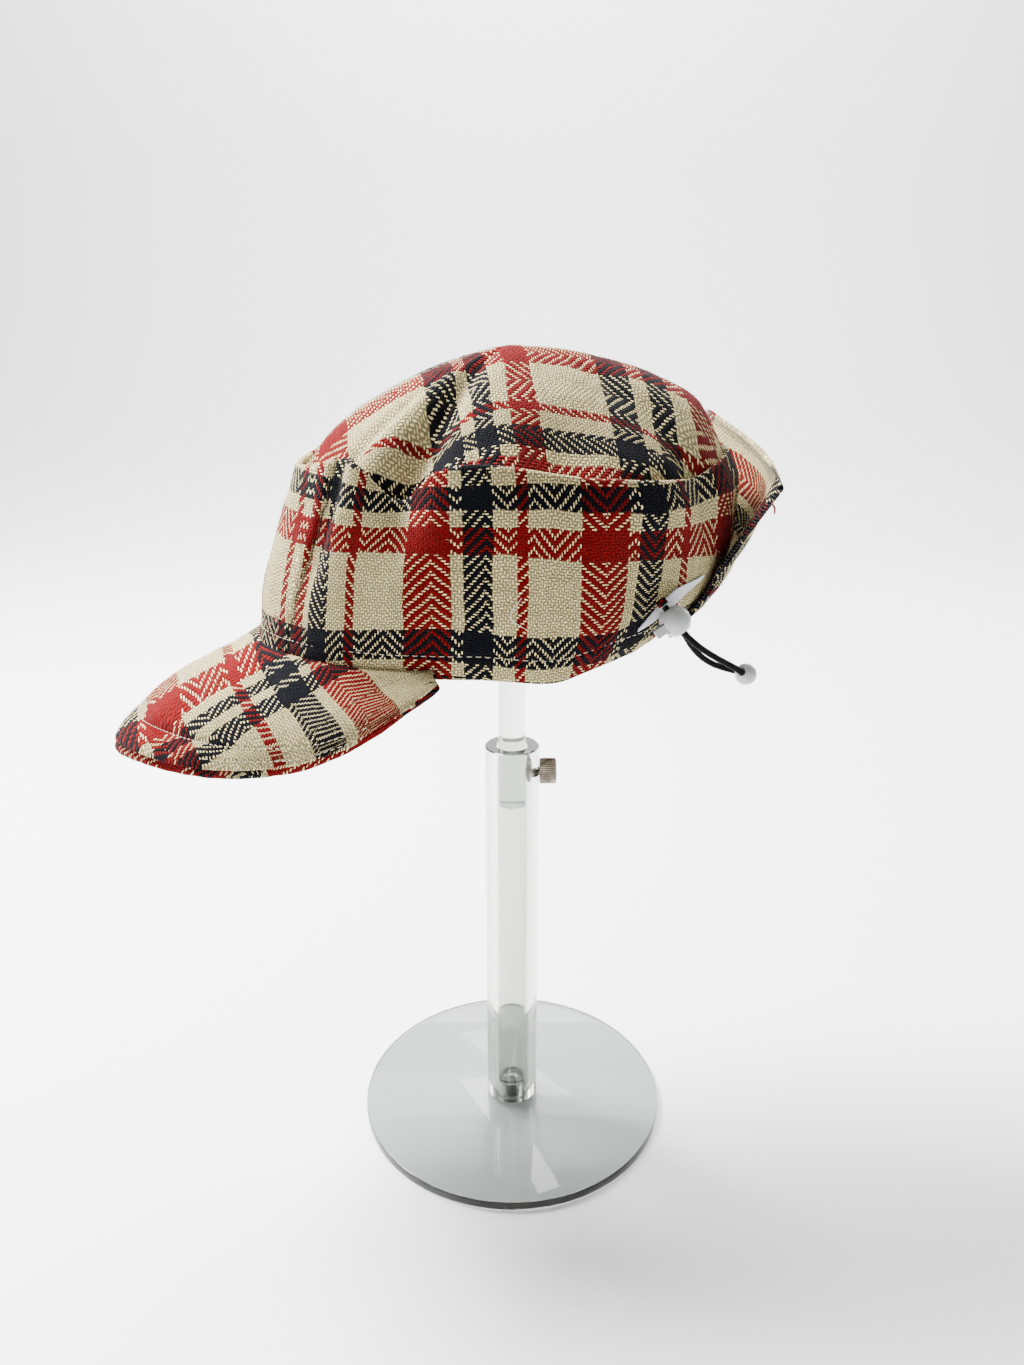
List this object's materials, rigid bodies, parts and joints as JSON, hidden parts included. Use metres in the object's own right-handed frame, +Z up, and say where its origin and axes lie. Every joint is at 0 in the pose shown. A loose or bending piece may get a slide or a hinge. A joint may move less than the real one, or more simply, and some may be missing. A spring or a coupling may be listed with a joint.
{
  "type": "deerstalker hat on a clear acrylic display stand",
  "caption": "Plaid wool cap with a stiff drooping front peak, a soft neck flap turned up behind and an elastic drawcord with stopper, held up on a clear acrylic disc, tube and rod.",
  "frame": {"origin": "middle of the underside of the stand's base disc, on the table", "axes": "+Z up along the stand's tube; +X to the right in the picture, towards the neck flap; -X towards the peak; -Y towards the viewer"},
  "size_m": [0.2807, 0.1565, 0.3725],
  "materials": {
    "plaid_wool": "matte brushed wool, herringbone twill in cream, red and navy plaid",
    "label_cloth": "plain white woven label, matte",
    "black_elastic": "matte black braided elastic",
    "white_plastic": "white moulded plastic, satin",
    "clear_acrylic": "clear polished acrylic",
    "screw_steel": "brushed steel, knurled round the head"
  },
  "bodies": {
    "hat_and_stand": {"crown_wall": "plaid_wool", "crown_top": "plaid_wool", "peak_upper": "plaid_wool", "peak_under": "plaid_wool", "neck_flap": "plaid_wool", "cord_tab": "plaid_wool", "size_label": "label_cloth", "elastic_cord": "black_elastic", "cord_toggle": "white_plastic", "cord_bead": "white_plastic", "stand_base": "clear_acrylic", "stand_tube": "clear_acrylic", "tube_plug": "clear_acrylic", "stand_rod": "clear_acrylic", "stand_pad": "clear_acrylic", "base_screw": "screw_steel", "clamp_screw": "screw_steel"},
    "plunger": {"toggle_plunger": "white_plastic"}
  },
  "joints": [
    {"name": "plunger_press", "type": "slide", "parent": "hat_and_stand", "child": "plunger", "axis": [0.7993, 0.0761, 0.5961], "range_m": [0, 0.002], "stiffness_N_per_m": 300}
  ]
}
